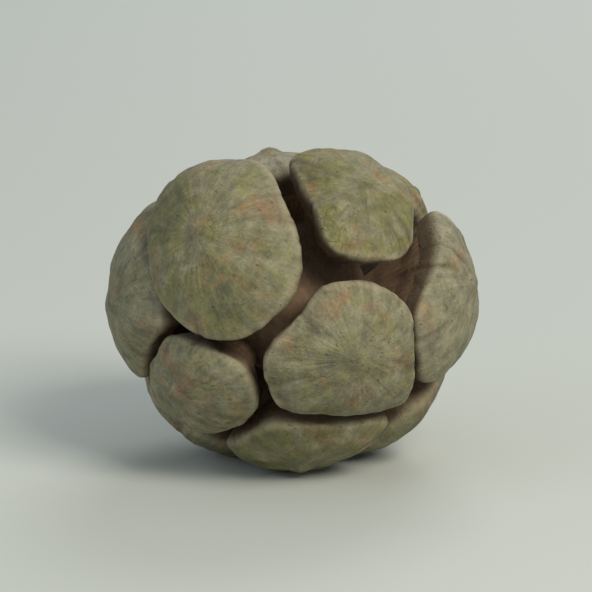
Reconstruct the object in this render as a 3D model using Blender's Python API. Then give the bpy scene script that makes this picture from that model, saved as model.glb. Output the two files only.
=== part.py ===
# Dry, open cypress cone lying on its side, in metres, +Z up.
# The cone grows about its own axis: its tip points along -Y and its stalk along +Y.

import random
from math import acos, atan2, cos, pi, radians, sin, tan

import bmesh
import bpy
from mathutils import Matrix, Vector

MM = 0.001

# Egg shape that the faces of the scales follow
BODY_WIDTH = 29.4 * MM
BODY_LENGTH = 30.6 * MM
BODY_HEIGHT = 27.2 * MM

# One row per scale, named by where it shows from the tip: bearing round the axis (0 right, 90
# up) and angle from the tip, in degrees, share of the room, then in millimetres how far its
# face stands out past the egg shape and half the gap to its neighbours.
SCALES = {
    "upper_left": (140, 31.5, 1.38, 0.5, 0.75),
    "lower_right": (327, 28.0, 1.00, 0.2, 0.65),
    "upper_right": (56, 47.5, 1.00, 0.3, 0.95),
    "lower_left": (224, 49.0, 0.94, -0.2, 0.55),
    "right": (7, 76.0, 1.02, 0.2, 1.05),
    "top": (100, 89.0, 0.86, -1.7, 0.50),
    "left": (188, 63.0, 1.05, 0.1, 0.60),
    "bottom": (276, 71.0, 1.00, 0.2, 0.60),
    "back_upper_right": (42, 108.0, 1.00, -1.5, 0.70),
    "back_upper_left": (147, 119.0, 0.95, -0.4, 0.60),
    "back_lower_left": (236, 106.0, 1.00, 0.2, 0.65),
    "back_lower_right": (305, 107.0, 1.00, 0.2, 0.60),
    "stalk_right": (8, 138.0, 0.95, -0.2, 0.60),
    "stalk_left": (192, 132.0, 0.95, 0.0, 0.60),
    "stalk_top": (95, 148.0, 0.70, -0.5, 0.55),
    "stalk_bottom": (275, 146.0, 0.70, -0.4, 0.55),
}
# Where the first scale draws back from the second by so many millimetres more than its row
# says, or, below zero, comes closer
GAP_CHANGES = {
    ("upper_left", "upper_right"): 0.6,
    ("upper_left", "lower_right"): -0.4,
    ("upper_left", "left"): -0.5,
    ("lower_right", "upper_left"): 0.3,
    ("lower_right", "right"): 0.2,
    ("upper_right", "right"): 0.3,
    ("right", "upper_right"): 1.6,
    ("right", "lower_right"): -1.6,
    ("right", "back_upper_right"): -1.6,
    ("left", "upper_left"): -0.7,
    ("left", "lower_left"): -0.5,
    ("back_upper_right", "right"): 1.3,
}
CORNER_SHARPNESS = 9
LEAST_FACING = 0.02
WIDEST_REACH = radians(80)

# Section of a scale, as fractions of the way to its outline and millimetres of depth under
# its middle: a boss, a domed face, a thick rim and a stem that runs in to the axis
BOSS = ((0.0, -0.30), (0.09, -0.20), (0.20, 0.05))
FACE = ((0.46, 0.18), (0.74, 0.50), (0.93, 0.94))
RIM = ((0.99, 1.25), (1.01, 1.80), (0.98, 2.7), (0.90, 3.8))
STEM = ((0.70, 5.4), (0.60, 7.6), (0.0, 10.5))
SECTION = BOSS + FACE + RIM + STEM
POINTS_ROUND_SCALE = 24

# Unevenness of a scale: a wavy outline and shallow furrows from the boss to the rim
OUTLINE_WAVES = 5
OUTLINE_WAVE = 0.015
FURROWS = 7
FURROW_DEPTH = 0.10 * MM
SEED = 7

# Woody axis inside, and the stump of the stalk, which is broken off aslant
AXIS_WIDTH = 12.0 * MM
AXIS_LENGTH = 20.0 * MM
AXIS_SIDES = 20
AXIS_RINGS = 12
STALK_ROOT_WIDTH = 4.2 * MM
STALK_WIDTH = 3.4 * MM
STALK_END = 16.9 * MM
STALK_SIDES = 14
STALK_SLANT = radians(12)
STALK_LEAN = radians(4)

# How the cone lies: turned about its length and nose down or up, on three low points that
# are worn flat by this depth
LIE_ROLL = radians(0.5)
LIE_PITCH = radians(-11)
WORN_FLAT = 0.22 * MM

WOOD_COLOUR = (0.180, 0.142, 0.087, 1.0)
WOOD_ROUGHNESS = 0.8
SHARP_EDGE = radians(38)


def clear_scene():
    for obj in list(bpy.data.objects):
        bpy.data.objects.remove(obj)


def wood():
    material = bpy.data.materials.new("cone_wood")
    material.use_nodes = True
    shader = material.node_tree.nodes["Principled BSDF"]
    shader.inputs["Base Color"].default_value = WOOD_COLOUR
    shader.inputs["Roughness"].default_value = WOOD_ROUGHNESS
    shader.inputs["Metallic"].default_value = 0.0
    return material


def heading(bearing, angle):
    around = radians(bearing)
    away = radians(angle)
    return Vector((sin(away) * cos(around), -cos(away), sin(away) * sin(around)))


def egg_radius(direction):
    scaled = (
        direction.x / (BODY_WIDTH / 2),
        direction.y / (BODY_LENGTH / 2),
        direction.z / (BODY_HEIGHT / 2),
    )
    return 1 / Vector(scaled).length


# Angle from a scale's middle to its outline on the side that sideways points to. Each
# neighbour limits it with a line across the way there, and a smooth minimum rounds the corners.
def outline_angle(name, sideways):
    bearing, angle, room, _, half_gap = SCALES[name]
    middle = heading(bearing, angle)
    total = 0.0
    for other, row in SCALES.items():
        if other == name:
            continue
        neighbour = heading(row[0], row[1])
        apart = middle.angle(neighbour)
        across = (neighbour - middle * middle.dot(neighbour)).normalized()
        facing = sideways.dot(across)
        if facing < LEAST_FACING:
            continue
        drawn_back = GAP_CHANGES.get((name, other), 0.0) * MM / egg_radius(middle)
        own_part = min(apart * room / (room + row[2]) - drawn_back, WIDEST_REACH)
        limit = atan2(tan(own_part), facing)
        total += limit ** -CORNER_SHARPNESS
    return total ** (-1 / CORNER_SHARPNESS) - half_gap * MM / egg_radius(middle)


# A scale starts as a ball, whose rings are moved to the rows of the section
def add_scale(name, collection, draw):
    bearing, angle, _, stands_out, _ = SCALES[name]
    middle = heading(bearing, angle)
    level = Vector((0.0, 0.0, 1.0)).cross(middle).normalized()
    upward = middle.cross(level)
    wave_turn = draw.uniform(0, 2 * pi)
    furrow_turn = draw.uniform(0, 2 * pi)
    top = egg_radius(middle) + stands_out * MM

    mesh = bmesh.new()
    bmesh.ops.create_uvsphere(
        mesh, u_segments=POINTS_ROUND_SCALE, v_segments=len(SECTION) - 1, radius=1.0
    )
    for vert in mesh.verts:
        ring = round(acos(max(-1.0, min(1.0, vert.co.z))) / pi * (len(SECTION) - 1))
        fraction, depth = SECTION[ring]
        turn = atan2(vert.co.y, vert.co.x)
        sideways = level * cos(turn) + upward * sin(turn)
        reach = outline_angle(name, sideways)
        reach *= 1 + OUTLINE_WAVE * cos(OUTLINE_WAVES * turn + wave_turn)
        direction = middle * cos(fraction * reach) + sideways * sin(fraction * reach)
        furrow = FURROW_DEPTH * fraction ** 2 * cos(FURROWS * turn + furrow_turn)
        if ring >= len(SECTION) - len(STEM):
            furrow = 0.0
        shape_drop = (egg_radius(direction) - egg_radius(middle)) * min(1.0, fraction)
        vert.co = direction * (top + shape_drop - depth * MM - furrow)
    return add_object(f"{name}_scale", mesh, collection)


def add_axis(collection):
    mesh = bmesh.new()
    bmesh.ops.create_uvsphere(
        mesh,
        u_segments=AXIS_SIDES,
        v_segments=AXIS_RINGS,
        radius=0.5,
        matrix=Matrix.Diagonal((AXIS_WIDTH, AXIS_LENGTH, AXIS_WIDTH, 1.0)),
    )
    return add_object("cone", mesh, collection)


def add_stalk(collection):
    mesh = bmesh.new()
    lay_back = Matrix.Rotation(radians(-90) + STALK_LEAN, 4, "X")
    place = lay_back @ Matrix.Translation((0.0, 0.0, STALK_END / 2))
    bmesh.ops.create_cone(
        mesh,
        cap_ends=True,
        segments=STALK_SIDES,
        radius1=STALK_ROOT_WIDTH / 2,
        radius2=STALK_WIDTH / 2,
        depth=STALK_END,
        matrix=place,
    )
    for vert in mesh.verts:
        if vert.co.y > STALK_END / 2:
            vert.co.y += vert.co.x * tan(STALK_SLANT)
    return add_object("stalk", mesh, collection)


def add_object(name, mesh, collection):
    data = bpy.data.meshes.new(name)
    mesh.to_mesh(data)
    mesh.free()
    obj = bpy.data.objects.new(name, data)
    collection.objects.link(obj)
    return obj


# Joins every object of the collection to the axis in one solid
def fuse(axis, collection):
    join = axis.modifiers.new("join_scales", "BOOLEAN")
    join.operation = "UNION"
    join.operand_type = "COLLECTION"
    join.collection = collection
    evaluated = axis.evaluated_get(bpy.context.evaluated_depsgraph_get())
    joined = bpy.data.meshes.new_from_object(evaluated)
    axis.modifiers.remove(join)
    axis.data = joined
    for obj in list(collection.objects):
        bpy.data.objects.remove(obj)
    bpy.data.collections.remove(collection)


# Turns the cone to how it lies, sets it down and wears its lowest points flat
def lay_down(cone):
    mesh = bmesh.new()
    mesh.from_mesh(cone.data)
    lie = Matrix.Rotation(LIE_PITCH, 4, "X") @ Matrix.Rotation(LIE_ROLL, 4, "Y")
    bmesh.ops.transform(mesh, matrix=lie, verts=mesh.verts)
    xs = [vert.co.x for vert in mesh.verts]
    ys = [vert.co.y for vert in mesh.verts]
    lowest = min(vert.co.z for vert in mesh.verts)
    centre = Vector(((min(xs) + max(xs)) / 2, (min(ys) + max(ys)) / 2, lowest + WORN_FLAT))
    bmesh.ops.translate(mesh, vec=-centre, verts=mesh.verts)
    cut = bmesh.ops.bisect_plane(
        mesh,
        geom=mesh.verts[:] + mesh.edges[:] + mesh.faces[:],
        plane_co=(0.0, 0.0, 0.0),
        plane_no=(0.0, 0.0, -1.0),
        clear_outer=True,
    )
    rims = [item for item in cut["geom_cut"] if isinstance(item, bmesh.types.BMEdge)]
    bmesh.ops.edgeloop_fill(mesh, edges=rims)
    bmesh.ops.recalc_face_normals(mesh, faces=mesh.faces)
    mesh.to_mesh(cone.data)
    mesh.free()


def main():
    clear_scene()
    scene_objects = bpy.context.scene.collection
    scales = bpy.data.collections.new("scales")
    scene_objects.children.link(scales)
    draw = random.Random(SEED)

    cone = add_axis(scene_objects)
    add_stalk(scales)
    for name in SCALES:
        add_scale(name, scales, draw)
    fuse(cone, scales)
    lay_down(cone)

    cone.data.materials.clear()
    cone.data.materials.append(wood())
    cone.data.shade_smooth()
    cone.data.set_sharp_from_angle(angle=SHARP_EDGE)


main()
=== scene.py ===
import random
from math import acos, atan2, cos, exp, pi, radians, sin, tan

import bmesh
import bpy
from mathutils import Matrix, Vector, noise
from mathutils.geometry import interpolate_bezier


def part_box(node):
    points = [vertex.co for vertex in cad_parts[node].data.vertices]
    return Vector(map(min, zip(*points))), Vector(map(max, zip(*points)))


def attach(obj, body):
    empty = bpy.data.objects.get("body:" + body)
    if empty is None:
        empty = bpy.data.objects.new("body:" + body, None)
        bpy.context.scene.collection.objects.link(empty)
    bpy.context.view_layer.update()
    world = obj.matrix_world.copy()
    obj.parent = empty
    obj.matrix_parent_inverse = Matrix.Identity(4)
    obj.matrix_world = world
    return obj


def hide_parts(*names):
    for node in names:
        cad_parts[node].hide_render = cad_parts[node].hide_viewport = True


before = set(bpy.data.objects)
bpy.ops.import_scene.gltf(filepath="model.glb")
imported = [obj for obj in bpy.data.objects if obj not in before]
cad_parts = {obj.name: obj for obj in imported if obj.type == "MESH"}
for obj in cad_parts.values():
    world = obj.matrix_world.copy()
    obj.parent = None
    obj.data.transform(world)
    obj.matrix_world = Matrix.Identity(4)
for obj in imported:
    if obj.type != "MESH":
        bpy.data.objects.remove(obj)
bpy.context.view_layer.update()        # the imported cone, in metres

mm = 0.001

# the cone's form in millimetres and degrees: as in its solid, but for the left and lower left
# scales, which sit a little further round, and small changes of five gaps and two heights
coneForm = {
    "width": 29.4,
    "length": 30.6,
    "height": 27.2,
    # a row for each scale, named by where it shows from the tip: bearing round the axis (0
    # right, 90 up), angle from the tip, share of the room, how far it stands out, half the gap
    "scales": {
        "upperLeft": (140, 31.5, 1.38, 0.5, 0.75),
        "lowerRight": (327, 28.0, 1.00, 0.2, 0.65),
        "upperRight": (56, 47.5, 1.00, 0.3, 0.95),
        "lowerLeft": (221, 49.5, 0.94, -0.2, 0.55),
        "right": (7, 76.0, 1.02, 0.2, 1.05),
        "top": (100, 89.0, 0.86, -1.9, 0.50),
        "left": (182, 63.5, 1.05, 0.1, 0.60),
        "bottom": (276, 71.0, 1.00, 0.2, 0.60),
        "backUpperRight": (42, 108.0, 1.00, -1.1, 0.70),
        "backUpperLeft": (147, 119.0, 0.95, -0.4, 0.60),
        "backLowerLeft": (236, 106.0, 1.00, 0.2, 0.65),
        "backLowerRight": (305, 107.0, 1.00, 0.2, 0.60),
        "stalkRight": (8, 138.0, 0.95, -0.2, 0.60),
        "stalkLeft": (192, 132.0, 0.95, 0.0, 0.60),
        "stalkTop": (95, 148.0, 0.70, -0.5, 0.55),
        "stalkBottom": (275, 146.0, 0.70, -0.4, 0.55),
    },
    # how much further a scale, named first, draws back from its neighbour, or comes closer
    "gapChanges": {
        ("upperLeft", "lowerRight"): -0.4,
        ("upperLeft", "left"): -0.5,
        ("lowerRight", "upperLeft"): 0.3,
        ("lowerRight", "right"): 0.2,
        ("lowerRight", "upperRight"): 0.4,
        ("upperRight", "upperLeft"): 0.35,
        ("right", "upperRight"): 1.4,
        ("right", "lowerRight"): -1.6,
        ("right", "backUpperRight"): -1.6,
        ("left", "upperLeft"): -0.7,
        ("left", "lowerLeft"): -0.5,
        ("backUpperRight", "right"): 1.3,
    },
    "cornerSharpness": 9,
    "leastFacing": 0.02,
    "widestReach": 80,            # degrees
    "outlineWaves": 5,
    "outlineWave": 0.015,         # as a part of the way to the outline
    "furrows": 7,
    "furrowDepth": 0.10,
    "seed": 7,
    "liePitch": -11,
    "lieRoll": 0.5,
    "middle": (0.228, 1.173, -12.960),   # goes to the origin once the cone is turned
}

# places of the four finishes in the cone's list of materials
finishPlace = {"scaleSkin": 0, "innerWood": 1, "stalkBark": 2, "brokenWood": 3}


def heading(bearing, angle):
    around = radians(bearing)
    away = radians(angle)
    return Vector((sin(away) * cos(around), -cos(away), sin(away) * sin(around)))


def eggRadius(direction):
    x, y, z = direction
    return 1 / Vector((
        x / (coneForm["width"] / 2),
        y / (coneForm["length"] / 2),
        z / (coneForm["height"] / 2),
    )).length


# angle from a scale's middle to its outline towards sideways: each neighbour sets a line
# across the way there, and a smooth minimum rounds the corners
def outlineAngle(name, sideways):
    bearing, angle, room, _, halfGap = coneForm["scales"][name]
    middle = heading(bearing, angle)
    total = 0.0
    for other, row in coneForm["scales"].items():
        if other == name:
            continue
        neighbour = heading(row[0], row[1])
        across = (neighbour - middle * middle.dot(neighbour)).normalized()
        facing = sideways.dot(across)
        if facing < coneForm["leastFacing"]:
            continue
        drawnBack = coneForm["gapChanges"].get((name, other), 0.0) / eggRadius(middle)
        ownPart = middle.angle(neighbour) * room / (room + row[2]) - drawnBack
        ownPart = min(ownPart, radians(coneForm["widestReach"]))
        total += atan2(tan(ownPart), facing) ** -coneForm["cornerSharpness"]
    return total ** (-1 / coneForm["cornerSharpness"]) - halfGap / eggRadius(middle)


# a smooth run of (fraction, distance) through the rows: each stretch is a Bezier curve, with
# handles a sixth of the way between the rows on both sides
def smoothRows(rows, rings):
    points = [Vector((row[0], row[1], 0.0)) for row in rows]
    run = [points[0]]
    for number, steps in enumerate(rings):
        before = points[max(number - 1, 0)]
        start = points[number]
        end = points[number + 1]
        after = points[min(number + 2, len(points) - 1)]
        curve = interpolate_bezier(
            start, start + (end - before) / 6, end - (after - start) / 6, end, steps + 1
        )
        run += curve[1:]
    return run


def easeBetween(low, high, value):
    part = max(0.0, min(1.0, (value - low) / (high - low)))
    return part * part * (3 - 2 * part)


def lumpy(place, layers):
    return sum(height * noise.noise(place / size) for size, height in layers)


def newBall(sides, rings):
    mesh = bmesh.new()
    bmesh.ops.create_uvsphere(mesh, u_segments=sides, v_segments=rings, radius=1.0)
    numbers = mesh.verts.layers.float
    layers = {name: numbers.new(name) for name in ("spread", "drop", "hollow", "tone")}
    layers["ray"] = mesh.verts.layers.float_vector.new("ray")
    return mesh, layers


def ringOf(vert, rings):
    return round(acos(max(-1.0, min(1.0, vert.co.z))) / pi * rings)


def addPiece(name, mesh, materials):
    data = bpy.data.meshes.new(name)
    mesh.to_mesh(data)
    mesh.free()
    for material in materials:
        data.materials.append(material)
    piece = bpy.data.objects.new(name, data)
    bpy.context.scene.collection.objects.link(piece)
    return piece


# a scale's section: fraction of the way to its outline and depth under its middle, with the
# rings that fill the stretch after each row
scaleSection = {
    "rows": (
        (0.0, -0.42), (0.08, -0.30), (0.19, 0.05), (0.46, 0.18), (0.74, 0.50), (0.93, 0.94),
        (0.99, 1.25), (1.01, 1.80), (0.98, 2.7), (0.90, 3.8), (0.70, 5.4), (0.60, 7.6),
        (0.0, 10.5),
    ),
    "rings": (2, 3, 7, 7, 6, 3, 3, 3, 3, 3, 2, 1),
    "sides": 112,
    "wallDepths": (0.9, 2.1),     # between them the lumps turn to stand out of the edge
    "skinDepth": 2.9,             # the weathered skin ends this far down the edge
}

# wrinkles and lumps on a scale, in millimetres
scaleRelief = {
    "grooves": (9, 15),           # fewest and most on a scale
    "grooveJitter": 0.38,         # as a part of the way between two
    "grooveStart": (0.30, 0.85),  # as a fraction of the way to the outline
    "grooveBegins": 0.3,          # it deepens over so much of the way
    "grooveDepth": (0.03, 0.13),
    "grooveWidth": (0.17, 0.34),
    "grooveWidths": 3,            # a groove ends so many widths aside
    "grooveWander": 0.35,
    "fadeDepths": (3.0, 5.0),     # furrows and grooves fade out between them
    "lumps": ((3.6, 0.24), (1.5, 0.10), (0.7, 0.06)),   # size, height
    "edgeChips": ((2.2, 0.12), (0.8, 0.05)),
    "patternStep": 3.0,           # sets the fibres of one scale apart from the next one's
    "seed": 23,
    "toneSeed": 433,
}


def drawGrooves(draw):
    count = draw.randint(*scaleRelief["grooves"])
    jitter = scaleRelief["grooveJitter"]
    grooves = []
    for number in range(count):
        grooves.append({
            "turn": 2 * pi * (number + draw.uniform(-jitter, jitter)) / count,
            "start": draw.uniform(*scaleRelief["grooveStart"]),
            "depth": draw.uniform(*scaleRelief["grooveDepth"]),
            "width": draw.uniform(*scaleRelief["grooveWidth"]),
            "wander": draw.uniform(-1, 1) * scaleRelief["grooveWander"],
        })
    return grooves


# how deep the radial grooves are at one place of a scale
def grooveAt(grooves, turn, fraction, fromMiddle):
    depth = 0.0
    for groove in grooves:
        begun = easeBetween(groove["start"], groove["start"] + scaleRelief["grooveBegins"], fraction)
        if begun == 0.0:
            continue
        aside = turn - groove["turn"] - groove["wander"] * (fraction - 0.5)
        aside = (aside + pi) % (2 * pi) - pi
        across = aside * fromMiddle / groove["width"]
        if abs(across) < scaleRelief["grooveWidths"]:
            depth += groove["depth"] * begun * exp(-across * across)
    return depth


# a scale starts as a ball, whose rings are moved to the section and then wrinkled
def growScale(name, number, tone, shapeDraw, reliefDraw, materials):
    bearing, angle, _, standsOut, _ = coneForm["scales"][name]
    middle = heading(bearing, angle)
    level = Vector((0.0, 0.0, 1.0)).cross(middle).normalized()
    upward = middle.cross(level)
    waveTurn = shapeDraw.uniform(0, 2 * pi)
    furrowTurn = shapeDraw.uniform(0, 2 * pi)
    grooves = drawGrooves(reliefDraw)
    top = eggRadius(middle) + standsOut
    section = smoothRows(scaleSection["rows"], scaleSection["rings"])
    rings = len(section) - 1
    sides = scaleSection["sides"]

    reaches = []
    for side in range(sides):
        turn = 2 * pi * side / sides
        sideways = level * cos(turn) + upward * sin(turn)
        reach = outlineAngle(name, sideways)
        reach *= 1 + coneForm["outlineWave"] * cos(coneForm["outlineWaves"] * turn + waveTurn)
        rim = (middle * cos(reach) + sideways * sin(reach)) * top
        reach += lumpy(rim, scaleRelief["edgeChips"]) / top
        reaches.append(reach)

    mesh, layers = newBall(sides, rings)
    for vert in mesh.verts:
        fraction, depth, _ = section[ringOf(vert, rings)]
        turn = atan2(vert.co.y, vert.co.x)
        reach = reaches[round(turn / (2 * pi) * sides) % sides]
        sideways = level * cos(turn) + upward * sin(turn)
        direction = middle * cos(fraction * reach) + sideways * sin(fraction * reach)
        outwards = sideways * cos(reach) - middle * sin(reach)
        onWall = easeBetween(*scaleSection["wallDepths"], depth)
        deep = easeBetween(*scaleRelief["fadeDepths"], depth)
        furrow = coneForm["furrowDepth"] * fraction ** 2 * cos(coneForm["furrows"] * turn + furrowTurn)
        groove = grooveAt(grooves, turn, fraction, fraction * reach * top)
        eggDrop = (eggRadius(direction) - eggRadius(middle)) * min(1.0, fraction)
        place = direction * (top + eggDrop - depth)
        rise = lumpy(place, scaleRelief["lumps"]) - furrow * (1 - deep) - groove * (1 - deep)
        vert.co = place + direction.lerp(outwards, onWall).normalized() * rise
        vert[layers["spread"]] = fraction
        vert[layers["drop"]] = depth
        vert[layers["hollow"]] = groove
        vert[layers["tone"]] = tone
        vert[layers["ray"]] = (cos(turn), sin(turn), scaleRelief["patternStep"] * number)
    for face in mesh.faces:
        innermost = min(vert[layers["drop"]] for vert in face.verts)
        inside = innermost > scaleSection["skinDepth"]
        face.material_index = finishPlace["innerWood" if inside else "scaleSkin"]
    return addPiece(name + "Scale", mesh, materials)


# the woody axis that the scales' stems run in to, in millimetres
axisForm = {
    "size": (12.0, 20.0, 12.0),
    "sides": 64,
    "rings": 40,
    "lumps": ((2.2, 0.35), (0.9, 0.15)),    # size, height
}


def growAxis(materials):
    mesh, layers = newBall(axisForm["sides"], axisForm["rings"])
    for vert in mesh.verts:
        size = axisForm["size"]
        vert.co = Vector(vert.co[i] * size[i] / 2 for i in range(3))
        vert.co += vert.co.normalized() * lumpy(vert.co, axisForm["lumps"])
        vert[layers["drop"]] = scaleSection["rows"][-1][1]
        vert[layers["ray"]] = vert.co.normalized()
    for face in mesh.faces:
        face.material_index = finishPlace["innerWood"]
    return addPiece("weatheredCone", mesh, materials)


# the stump of the stalk, in millimetres and degrees: ridged bark and a splintered end
stalkForm = {
    # fraction of the half width and place along the stalk, from the broken end to the root
    "rows": (
        (0.0, 16.3), (0.25, 16.6), (0.62, 16.95), (0.90, 16.85), (1.0, 16.5), (1.0, 15.6),
        (1.04, 14.2), (1.10, 10.0), (1.22, 2.0), (0.0, 0.0),
    ),
    "rings": (4, 5, 5, 3, 4, 6, 5, 3, 1),
    "brokenStretches": 3,         # the first ones are the broken end
    "sides": 72,
    "halfWidth": 1.7,
    "oval": 0.06,
    "ovalTurn": 1.0,              # radians
    "lean": 4,
    "slant": 12,
    "slantFrom": 8.0,
    "splinters": 0.26,
    "splinterSize": 0.42,
    "splintersFrom": (15.2, 16.4),
    "splinterSlice": 5.0,
    "barkRidge": 0.11,
    "barkRidges": 3.4,
    "ridgeBends": 0.22,
    "rayStep": 0.05,              # of the pattern, for each millimetre along
}


def growStalk(materials):
    section = smoothRows(stalkForm["rows"], stalkForm["rings"])
    rings = len(section) - 1
    brokenRings = sum(stalkForm["rings"][:stalkForm["brokenStretches"]])
    layBack = Matrix.Rotation(radians(stalkForm["lean"] - 90), 3, "X")
    mesh, layers = newBall(stalkForm["sides"], rings)
    brokenEnd = set()
    for vert in mesh.verts:
        ring = ringOf(vert, rings)
        fraction, along, _ = section[ring]
        turn = atan2(vert.co.y, vert.co.x)
        sideways = Vector((cos(turn), sin(turn), 0.0))
        bend = Vector((0, 0, along * stalkForm["ridgeBends"]))
        ridge = noise.noise(sideways * stalkForm["barkRidges"] + bend)
        oval = 1 + stalkForm["oval"] * sin(2 * turn + stalkForm["ovalTurn"])
        half = fraction * stalkForm["halfWidth"] * oval
        half += stalkForm["barkRidge"] * ridge * min(1.0, fraction)
        place = sideways * half
        ragged = easeBetween(*stalkForm["splintersFrom"], along)
        splinterPlace = Vector((place.x, place.y, stalkForm["splinterSlice"]))
        splinter = noise.noise(splinterPlace / stalkForm["splinterSize"])
        lift = ragged * stalkForm["splinters"] * (splinter + abs(splinter))
        vert.co = layBack @ (place + Vector((0.0, 0.0, along + lift)))
        if along > stalkForm["slantFrom"]:
            vert.co.y += vert.co.x * tan(radians(stalkForm["slant"]))
        vert[layers["spread"]] = fraction
        vert[layers["ray"]] = (cos(turn), sin(turn), along * stalkForm["rayStep"])
        if ring <= brokenRings:
            brokenEnd.add(vert)
    for face in mesh.faces:
        broken = brokenEnd.issuperset(face.verts)
        face.material_index = finishPlace["brokenWood" if broken else "stalkBark"]
    return addPiece("stalk", mesh, materials)


# joins the pieces to the axis in one closed skin
def joinPieces(base, pieces):
    for piece in pieces:
        join = base.modifiers.new(piece.name, "BOOLEAN")
        join.operation = "UNION"
        join.object = piece
        join.solver = "MANIFOLD"
    evaluated = base.evaluated_get(bpy.context.evaluated_depsgraph_get())
    joined = bpy.data.meshes.new_from_object(evaluated)
    base.modifiers.clear()
    base.data = joined
    for piece in pieces:
        bpy.data.objects.remove(piece)


# the joining leaves a few loose slivers, so only what hangs together with the top stays
def dropSlivers(mesh):
    top = max(mesh.verts, key=lambda vert: vert.co.z)
    kept = {top}
    front = [top]
    while front:
        vert = front.pop()
        for edge in vert.link_edges:
            other = edge.other_vert(vert)
            if other not in kept:
                kept.add(other)
                front.append(other)
    loose = [vert for vert in mesh.verts if vert not in kept]
    bmesh.ops.delete(mesh, geom=loose, context="VERTS")


# the joining also lists the faces in another order each time, so they are put in order
def sortFaces(mesh):
    mesh.verts.index_update()
    ordered = sorted(mesh.faces, key=lambda face: sorted(vert.index for vert in face.verts))
    for number, face in enumerate(ordered):
        face.index = number
    mesh.faces.sort()


# turns the cone to how it lies, sets it down and wears its lowest points flat
def layDown(base):
    mesh = bmesh.new()
    mesh.from_mesh(base.data)
    lie = Matrix.Rotation(radians(coneForm["liePitch"]), 4, "X")
    lie = lie @ Matrix.Rotation(radians(coneForm["lieRoll"]), 4, "Y")
    place = Matrix.Scale(mm, 4) @ Matrix.Translation(-Vector(coneForm["middle"])) @ lie
    bmesh.ops.transform(mesh, matrix=place, verts=mesh.verts)
    for vert in mesh.verts:
        vert.co.z = max(0.0, vert.co.z)
    dropSlivers(mesh)
    sortFaces(mesh)
    mesh.to_mesh(base.data)
    mesh.free()
    base.data.shade_smooth()


def linearColour(hexCode):
    channels = [int(hexCode[i:i + 2], 16) / 255 for i in (1, 3, 5)]
    channels = [c / 12.92 if c <= 0.04045 else ((c + 0.055) / 1.055) ** 2.4 for c in channels]
    return (*channels, 1.0)


# a node's first output that is in use
def outputOf(node):
    return next(socket for socket in node.outputs if socket.enabled)


# adds a node, sets its properties or inputs, and links its inputs to sockets or other nodes
def addNode(tree, kind, settings, links):
    node = tree.nodes.new("ShaderNode" + kind)
    for name, value in settings.items():
        if name == "stops":
            ramp = node.color_ramp.elements
            while len(ramp) < len(value):
                ramp.new(1.0)
            for element, (place, colour) in zip(ramp, value):
                element.position = place
                element.color = linearColour(colour)
        elif isinstance(name, str) and hasattr(node, name):
            setattr(node, name, value)
        else:
            node.inputs[name].default_value = value
    for name, source in links.items():
        if isinstance(source, bpy.types.Node):
            source = outputOf(source)
        tree.links.new(source, node.inputs[name])
    return node


def newMaterial(name):
    material = bpy.data.materials.new(name)
    material.use_nodes = True
    tree = material.node_tree
    return material, tree, tree.nodes["Principled BSDF"]


# links a finished colour and bump to a matt shader
def finishMatt(tree, shader, finish, colour, height):
    bump = addNode(tree, "Bump", {"Distance": finish["bumpHeight"] * mm, "Strength": 1.0}, {
        "Height": height,
    })
    shader.inputs["Roughness"].default_value = finish["roughness"]
    shader.inputs["IOR"].default_value = finish["ior"]
    tree.links.new(outputOf(colour), shader.inputs["Base Color"])
    tree.links.new(outputOf(bump), shader.inputs["Normal"])


inMillimetres = (1 / mm, 1 / mm, 1 / mm)   # scale that turns a place in metres to millimetres
noiseSpan = (0.3, 0.7)                     # nearly all values of a noise lie between them


# the face of a cypress scale: woody skin, dried and weathered outdoors, so it is matt, blotched
# olive, grey and rust, pale where its rim is rubbed, with a painted highlight there, and dark in its
# cracks, with painted shade in its wrinkles
scaleFinish = {
    "olive": "#726f41",
    "moss": "#59593d",
    "yellowTan": "#867b47",
    "greyTan": "#7f7a5e",
    "paleGrey": "#8a8672",
    "rust": "#8d6741",
    # pale of the rubbed rim, which also serves as a painted highlight along it
    "rubbedRimAndHighlight": "#a2977b",
    # dark of the cracks and specks, also used as painted shade in the grooves
    "crackAndShadeDark": "#2c2319",
    # brown of the edge wood, which also darkens it as painted shade down into the gaps
    "edge": "#5a4834",
    "blotchSize": 4.6,      # millimetres, as are the other sizes
    "blotchShift": 37.0,    # how far apart the scales are in the noise of the blotches
    "greyShare": 0.6,       # of pale grey, on the greyest scale
    "rustSize": 3.0,
    "rustPlace": 33.7,      # where in the noise, which says where the patches lie
    "rustFrom": (0.52, 0.66),
    "rustShare": 0.6,
    "streaksRound": 11.0,
    "streaksAlong": 2.2,
    "scaleShift": 5.0,
    "mottleSize": 1.1,
    "grainSize": 0.24,
    "streakLight": (0.80, 1.16),
    "mottleLight": (0.60, 1.38),
    "grainLight": (0.86, 1.14),
    "rimFrom": (0.87, 0.98),
    "rimShare": 0.85,
    "crackSpacing": 1.7,
    "crackBend": 1.6,
    "crackWidth": 0.045,    # as a part of the spacing
    "crackFrom": (0.48, 0.62),
    "crackShare": 0.42,
    # painted shade in the grooves
    "grooveShadeShare": 5.0,     # for each millimetre of depth
    "speckSize": 0.42,
    "speckFrom": (0.66, 0.73),
    "speckShare": 0.5,
    "darkShare": 0.8,
    "edgeDepths": (1.1, 1.9),
    "edgeShare": 0.92,
    "roughness": (0.62, 0.84),
    "ior": 1.5,
    "bumpHeight": 0.14,
    "bumpShares": {"streak": 0.8, "grain": 0.35, "dark": -0.7},   # beside the mottling's 1
}


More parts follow.
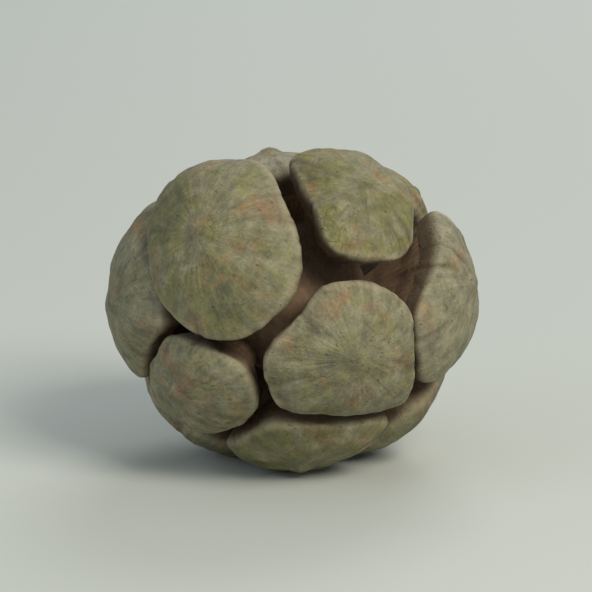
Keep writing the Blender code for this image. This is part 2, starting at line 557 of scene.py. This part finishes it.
def makeScaleSkin():
    finish = scaleFinish
    material, tree, shader = newMaterial("weatheredConeScale")
    coords = addNode(tree, "TexCoord", {}, {})
    place = addNode(tree, "Mapping", {"Scale": inMillimetres}, {"Vector": coords.outputs["Object"]})
    spread = addNode(tree, "Attribute", {"attribute_name": "spread"}, {}).outputs["Fac"]
    drop = addNode(tree, "Attribute", {"attribute_name": "drop"}, {}).outputs["Fac"]
    hollow = addNode(tree, "Attribute", {"attribute_name": "hollow"}, {}).outputs["Fac"]
    tone = addNode(tree, "Attribute", {"attribute_name": "tone"}, {}).outputs["Fac"]
    ray = addNode(tree, "Attribute", {"attribute_name": "ray"}, {}).outputs["Vector"]

    # blotches, shifted scale by scale
    shift = addNode(tree, "Math", {"operation": "MULTIPLY", 1: finish["blotchShift"]}, {0: tone})
    blotch = addNode(tree, "TexNoise", {
        "noise_dimensions": "4D", "Scale": 1 / finish["blotchSize"], "Detail": 4.0, "Roughness": 0.58,
    }, {"Vector": place, "W": shift})
    colour = addNode(tree, "ValToRGB", {"stops": (
        (0.30, finish["moss"]), (0.41, finish["olive"]), (0.50, finish["greyTan"]),
        (0.58, finish["olive"]), (0.70, finish["yellowTan"]),
    )}, {"Fac": blotch})
    greyer = addNode(tree, "MapRange", {"To Min": 0.0, "To Max": finish["greyShare"]}, {"Value": tone})
    colour = addNode(tree, "Mix", {"data_type": "RGBA", 7: linearColour(finish["paleGrey"])}, {
        0: greyer, 6: colour,
    })
    rustNoise = addNode(tree, "TexNoise", {
        "noise_dimensions": "4D", "Scale": 1 / finish["rustSize"], "Detail": 5.0, "Roughness": 0.6,
        "Distortion": 0.4, "W": finish["rustPlace"],
    }, {"Vector": place})
    low, high = finish["rustFrom"]
    rusty = addNode(tree, "MapRange", {
        "From Min": low, "From Max": high, "To Max": finish["rustShare"],
    }, {"Value": rustNoise})
    colour = addNode(tree, "Mix", {"data_type": "RGBA", 7: linearColour(finish["rust"])}, {
        0: rusty, 6: colour,
    })

    # fibres that run from the boss to the rim, and fine mottling
    along = addNode(tree, "CombineXYZ", {}, {"Z": spread})
    rayWide = addNode(tree, "VectorMath", {
        "operation": "MULTIPLY",
        1: (finish["streaksRound"], finish["streaksRound"], finish["scaleShift"]),
    }, {0: ray})
    rayPlace = addNode(tree, "VectorMath", {
        "operation": "MULTIPLY_ADD", 1: (1.0, 1.0, finish["streaksAlong"]),
    }, {0: along, 2: rayWide})
    streak = addNode(tree, "TexNoise", {"Scale": 1.0, "Detail": 5.0, "Roughness": 0.62}, {
        "Vector": rayPlace,
    })
    mottle = addNode(tree, "TexNoise", {
        "Scale": 1 / finish["mottleSize"], "Detail": 7.0, "Roughness": 0.66,
    }, {"Vector": place})
    grain = addNode(tree, "TexNoise", {
        "Scale": 1 / finish["grainSize"], "Detail": 3.0, "Roughness": 0.6,
    }, {"Vector": place})
    lights = {}
    for name, pattern in (("streakLight", streak), ("mottleLight", mottle), ("grainLight", grain)):
        lights[name] = addNode(tree, "MapRange", {
            "From Min": noiseSpan[0], "From Max": noiseSpan[1],
            "To Min": finish[name][0], "To Max": finish[name][1],
        }, {"Value": pattern})
    light = addNode(tree, "Math", {"operation": "MULTIPLY"}, {
        0: lights["streakLight"], 1: lights["mottleLight"],
    })
    light = addNode(tree, "Math", {"operation": "MULTIPLY"}, {0: light, 1: lights["grainLight"]})
    colour = addNode(tree, "VectorMath", {"operation": "SCALE"}, {0: colour, "Scale": light})

    # rubbed rim, paler with wear and with a painted highlight along it
    low, high = finish["rimFrom"]
    rimWearAndHighlight = addNode(tree, "MapRange", {
        "interpolation_type": "SMOOTHSTEP", "From Min": low, "From Max": high,
        "To Max": finish["rimShare"],
    }, {"Value": spread})
    rimWearAndHighlight = addNode(tree, "Math", {"operation": "MULTIPLY"}, {0: rimWearAndHighlight, 1: lights["mottleLight"]})
    rimWearAndHighlight = addNode(tree, "Math", {"operation": "MULTIPLY", "use_clamp": True}, {
        0: rimWearAndHighlight, 1: streak,
    })
    colour = addNode(tree, "Mix", {"data_type": "RGBA", 7: linearColour(finish["rubbedRimAndHighlight"])}, {
        0: rimWearAndHighlight, 6: colour,
    })

    # cracks and dark specks, and painted shade in the grooves, darker the deeper they are
    warp = addNode(tree, "TexNoise", {"Scale": 0.9, "Detail": 3.0}, {"Vector": place})
    bend = finish["crackBend"]
    warped = addNode(tree, "VectorMath", {"operation": "MULTIPLY_ADD", 1: (bend, bend, bend)}, {
        0: warp.outputs["Color"], 2: place,
    })
    crackCells = addNode(tree, "TexVoronoi", {
        "feature": "DISTANCE_TO_EDGE", "Scale": 1 / finish["crackSpacing"],
    }, {"Vector": warped})
    crackLine = addNode(tree, "MapRange", {
        "From Min": 0.0, "From Max": finish["crackWidth"], "To Min": 1.0, "To Max": 0.0,
    }, {"Value": crackCells})
    low, high = finish["crackFrom"]
    crackWhere = addNode(tree, "MapRange", {"From Min": low, "From Max": high}, {"Value": blotch})
    crack = addNode(tree, "Math", {"operation": "MULTIPLY"}, {0: crackLine, 1: crackWhere})
    # painted shade: the grooves get darker with their depth
    grooveShade = addNode(tree, "Math", {"operation": "MULTIPLY", 1: finish["grooveShadeShare"]}, {0: hollow})
    dark = addNode(tree, "Math", {
        "operation": "MULTIPLY_ADD", 1: finish["crackShare"], "use_clamp": True,
    }, {0: crack, 2: grooveShade})
    speckNoise = addNode(tree, "TexNoise", {
        "Scale": 1 / finish["speckSize"], "Detail": 2.0, "Roughness": 0.5,
    }, {"Vector": place})
    low, high = finish["speckFrom"]
    speck = addNode(tree, "MapRange", {
        "From Min": low, "From Max": high, "To Max": finish["speckShare"],
    }, {"Value": speckNoise})
    dark = addNode(tree, "Math", {"operation": "MAXIMUM"}, {0: dark, 1: speck})
    dark = addNode(tree, "Math", {"operation": "MULTIPLY", 1: finish["darkShare"]}, {0: dark})
    colour = addNode(tree, "Mix", {"data_type": "RGBA", 7: linearColour(finish["crackAndShadeDark"])}, {
        0: dark, 6: colour,
    })

    # the edge goes brown on its way in, and its darkening with depth is painted shade
    low, high = finish["edgeDepths"]
    edgeBrownAndShade = addNode(tree, "MapRange", {
        "interpolation_type": "SMOOTHSTEP", "From Min": low, "From Max": high,
        "To Max": finish["edgeShare"],
    }, {"Value": drop})
    colour = addNode(tree, "Mix", {"data_type": "RGBA", 7: linearColour(finish["edge"])}, {
        0: edgeBrownAndShade, 6: colour,
    })

    matt = addNode(tree, "MapRange", {
        "From Min": noiseSpan[0], "From Max": noiseSpan[1],
        "To Min": finish["roughness"][0], "To Max": finish["roughness"][1],
    }, {"Value": mottle})
    height = mottle
    for name, pattern in (("streak", streak), ("grain", grain), ("dark", dark)):
        height = addNode(tree, "Math", {
            "operation": "MULTIPLY_ADD", 1: finish["bumpShares"][name],
        }, {0: pattern, 2: height})
    bump = addNode(tree, "Bump", {"Distance": finish["bumpHeight"] * mm, "Strength": 1.0}, {
        "Height": height,
    })
    shader.inputs["IOR"].default_value = finish["ior"]
    tree.links.new(outputOf(colour), shader.inputs["Base Color"])
    tree.links.new(outputOf(matt), shader.inputs["Roughness"])
    tree.links.new(outputOf(bump), shader.inputs["Normal"])
    return material


# the wood under the skin, seen on the scales' edges, stems and axis: dry, fibrous, red-brown
# and dull, with painted shade that makes it darker the further in it is
innerFinish = {
    "dark": "#5f4c3b",
    "brown": "#7b6249",
    "fibre": "#9a7e5d",
    "fibresRound": 13.0,
    "fibresAlong": 0.45,
    "scaleShift": 5.0,
    "grainSize": 0.7,       # millimetres
    "shadeDepths": (3.0, 7.5),
    "shadeShare": 0.5,
    "roughness": 0.86,
    "ior": 1.5,
    "bumpHeight": 0.16,
}


def makeInnerWood():
    finish = innerFinish
    material, tree, shader = newMaterial("innerConeWood")
    coords = addNode(tree, "TexCoord", {}, {})
    place = addNode(tree, "Mapping", {"Scale": inMillimetres}, {"Vector": coords.outputs["Object"]})
    drop = addNode(tree, "Attribute", {"attribute_name": "drop"}, {}).outputs["Fac"]
    ray = addNode(tree, "Attribute", {"attribute_name": "ray"}, {}).outputs["Vector"]
    along = addNode(tree, "CombineXYZ", {}, {"Z": drop})
    rayWide = addNode(tree, "VectorMath", {
        "operation": "MULTIPLY",
        1: (finish["fibresRound"], finish["fibresRound"], finish["scaleShift"]),
    }, {0: ray})
    rayPlace = addNode(tree, "VectorMath", {
        "operation": "MULTIPLY_ADD", 1: (1.0, 1.0, finish["fibresAlong"]),
    }, {0: along, 2: rayWide})
    fibre = addNode(tree, "TexNoise", {"Scale": 1.0, "Detail": 5.0, "Roughness": 0.6}, {
        "Vector": rayPlace,
    })
    grain = addNode(tree, "TexNoise", {
        "Scale": 1 / finish["grainSize"], "Detail": 5.0, "Roughness": 0.6,
    }, {"Vector": place})
    mixed = addNode(tree, "Math", {"operation": "ADD"}, {0: fibre, 1: grain})
    mixed = addNode(tree, "Math", {"operation": "MULTIPLY", 1: 0.5}, {0: mixed})
    colour = addNode(tree, "ValToRGB", {"stops": (
        (0.36, finish["dark"]), (0.50, finish["brown"]), (0.66, finish["fibre"]),
    )}, {"Fac": mixed})
    # painted shade: the wood darkens the deeper it lies between the scales
    low, high = finish["shadeDepths"]
    deep = addNode(tree, "MapRange", {
        "From Min": low, "From Max": high, "To Max": finish["shadeShare"],
    }, {"Value": drop})
    colour = addNode(tree, "Mix", {"data_type": "RGBA", 7: linearColour(finish["dark"])}, {
        0: deep, 6: colour,
    })
    finishMatt(tree, shader, finish, colour, mixed)
    return material


# bark of the thin stalk: dry and grey-brown, split lengthwise into fine ridges, with no shine
barkFinish = {
    "ridge": "#85775f",
    "brown": "#5b4b37",
    "split": "#2b2018",
    "ridgesRound": 6.5,
    "ridgeLength": 2.4,     # millimetres
    "ridgeShare": 0.65,
    "grainSize": 0.6,
    "grainShare": 0.35,
    "roughness": 0.88,
    "ior": 1.5,
    "bumpHeight": 0.2,
}


def makeStalkBark():
    finish = barkFinish
    material, tree, shader = newMaterial("stalkBark")
    coords = addNode(tree, "TexCoord", {}, {})
    place = addNode(tree, "Mapping", {"Scale": inMillimetres}, {"Vector": coords.outputs["Object"]})
    ray = addNode(tree, "Attribute", {"attribute_name": "ray"}, {}).outputs["Vector"]
    perRay = 1 / stalkForm["rayStep"] / finish["ridgeLength"]
    rayWide = addNode(tree, "VectorMath", {
        "operation": "MULTIPLY", 1: (finish["ridgesRound"], finish["ridgesRound"], perRay),
    }, {0: ray})
    ridges = addNode(tree, "TexNoise", {"Scale": 1.0, "Detail": 5.0, "Roughness": 0.6}, {
        "Vector": rayWide,
    })
    grain = addNode(tree, "TexNoise", {
        "Scale": 1 / finish["grainSize"], "Detail": 6.0, "Roughness": 0.65,
    }, {"Vector": place})
    mixed = addNode(tree, "Math", {"operation": "MULTIPLY", 1: finish["ridgeShare"]}, {0: ridges})
    mixed = addNode(tree, "Math", {"operation": "MULTIPLY_ADD", 1: finish["grainShare"]}, {
        0: grain, 2: mixed,
    })
    colour = addNode(tree, "ValToRGB", {"stops": (
        (0.38, finish["split"]), (0.47, finish["brown"]), (0.60, finish["ridge"]),
    )}, {"Fac": mixed})
    finishMatt(tree, shader, finish, colour, mixed)
    return material


# the stalk's broken end: pale torn wood, fibrous, with a few faint year rings and a dark pith
brokenFinish = {
    "pale": "#b39a70",
    "torn": "#7d6545",
    "pith": "#4a3524",
    "fibreSize": 0.3,       # millimetres
    "fibreStretch": 0.3,    # along the stalk
    "rings": 3.0,
    "ringWaver": 0.25,
    "ringShade": 0.06,
    "pithFrom": (0.08, 0.22),
    "pithShare": 0.6,
    "roughness": 0.9,
    "ior": 1.5,
    "bumpHeight": 0.12,
}


def makeBrokenWood():
    finish = brokenFinish
    material, tree, shader = newMaterial("brokenStalkWood")
    coords = addNode(tree, "TexCoord", {}, {})
    place = addNode(tree, "Mapping", {"Scale": (1 / mm, finish["fibreStretch"] / mm, 1 / mm)}, {
        "Vector": coords.outputs["Object"],
    })
    spread = addNode(tree, "Attribute", {"attribute_name": "spread"}, {}).outputs["Fac"]
    fibre = addNode(tree, "TexNoise", {
        "Scale": 1 / finish["fibreSize"], "Detail": 4.0, "Roughness": 0.6,
    }, {"Vector": place})
    wavy = addNode(tree, "Math", {"operation": "MULTIPLY_ADD", 1: finish["ringWaver"]}, {
        0: fibre, 2: spread,
    })
    ringWave = addNode(tree, "Math", {"operation": "MULTIPLY", 1: 2 * pi * finish["rings"]}, {0: wavy})
    ringWave = addNode(tree, "Math", {"operation": "SINE"}, {0: ringWave})
    shade = addNode(tree, "Math", {"operation": "MULTIPLY_ADD", 1: finish["ringShade"]}, {
        0: ringWave, 2: fibre,
    })
    colour = addNode(tree, "ValToRGB", {"stops": (
        (0.34, finish["pith"]), (0.46, finish["torn"]), (0.62, finish["pale"]),
    )}, {"Fac": shade})
    low, high = finish["pithFrom"]
    pithPart = addNode(tree, "MapRange", {
        "From Min": low, "From Max": high, "To Min": finish["pithShare"], "To Max": 0.0,
    }, {"Value": wavy})
    colour = addNode(tree, "Mix", {"data_type": "RGBA", 7: linearColour(finish["pith"])}, {
        0: pithPart, 6: colour,
    })
    finishMatt(tree, shader, finish, colour, shade)
    return material


materials = [makeScaleSkin(), makeInnerWood(), makeStalkBark(), makeBrokenWood()]   # as in finishPlace

shapeDraw = random.Random(coneForm["seed"])
reliefDraw = random.Random(scaleRelief["seed"])
toneDraw = random.Random(scaleRelief["toneSeed"])
coneObject = growAxis(materials)
parts = [growStalk(materials)]
for number, name in enumerate(coneForm["scales"]):
    parts.append(growScale(name, number, toneDraw.random(), shapeDraw, reliefDraw, materials))
print("scales grown:", len(coneForm["scales"]))
joinPieces(coneObject, parts)
layDown(coneObject)
print("cone joined:", len(coneObject.data.polygons), "faces")
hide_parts("cone")
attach(coneObject, "root")

studio = {
    "floorSize": 3.0,       # metres
    "paperColour": "#bfc3bc",
    "paperGrain": 1.1,      # millimetres
    "paperTooth": 0.02,
    "paperRoughness": 0.92,
    "skyColour": "#e2ecf0",
    "skyStrength": 0.42,
    # place in millimetres, side of the square lamp in millimetres, watts, colour
    "lamps": (
        ("keyLamp", (220, -240, 290), 190, 1.48, "#fff8ec"),
        ("fillLamp", (-320, -180, 160), 260, 0.25, "#e2eeff"),
        ("backLamp", (60, 330, 280), 200, 0.6, "#ffffff"),
    ),
}


# uncoated paper: pale and matt, with a faint tooth
def makePaper():
    material, tree, shader = newMaterial("palePaper")
    coords = addNode(tree, "TexCoord", {}, {})
    tooth = addNode(tree, "TexNoise", {"Scale": 1 / (studio["paperGrain"] * mm), "Detail": 3.0}, {
        "Vector": coords.outputs["Object"],
    })
    bump = addNode(tree, "Bump", {"Distance": studio["paperTooth"] * mm, "Strength": 1.0}, {
        "Height": tooth,
    })
    shader.inputs["Base Color"].default_value = linearColour(studio["paperColour"])
    shader.inputs["Roughness"].default_value = studio["paperRoughness"]
    tree.links.new(outputOf(bump), shader.inputs["Normal"])
    return material


mesh = bmesh.new()
bmesh.ops.create_grid(mesh, x_segments=1, y_segments=1, size=studio["floorSize"] / 2)
floor = addPiece("floor", mesh, [makePaper()])

low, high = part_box("cone")
target = (Vector(low) + Vector(high)) / 2
for name, place, side, watts, colour in studio["lamps"]:
    lamp = bpy.data.lights.new(name, "AREA")
    lamp.size = side * mm
    lamp.energy = watts
    lamp.color = linearColour(colour)[:3]
    stand = bpy.data.objects.new(name, lamp)
    stand.location = Vector(place) * mm
    stand.rotation_euler = (target - stand.location).to_track_quat("-Z", "Y").to_euler()
    bpy.context.scene.collection.objects.link(stand)

world = bpy.data.worlds.new("softRoom")
world.use_nodes = True
sky = world.node_tree.nodes["Background"]
sky.inputs["Color"].default_value = linearColour(studio["skyColour"])
sky.inputs["Strength"].default_value = studio["skyStrength"]
bpy.context.scene.world = world
bpy.context.scene.view_settings.view_transform = "Standard"

# degrees and millimetres
view = {
    "fromRight": 4.5,
    "fromAbove": 13.0,
    "distance": 320,
    "nearest": 10,
    "lens": 245,
}

around = radians(view["fromRight"])
above = radians(view["fromAbove"])
towards = Vector((sin(around) * cos(above), -cos(around) * cos(above), sin(above)))
cameraData = bpy.data.cameras.new("camera")
cameraData.lens = view["lens"]
cameraData.clip_start = view["nearest"] * mm
camera = bpy.data.objects.new("camera", cameraData)
camera.location = target + towards * view["distance"] * mm
camera.rotation_euler = (-towards).to_track_quat("-Z", "Y").to_euler()
bpy.context.scene.collection.objects.link(camera)
bpy.context.scene.camera = camera
print("floor, lamps and camera placed")
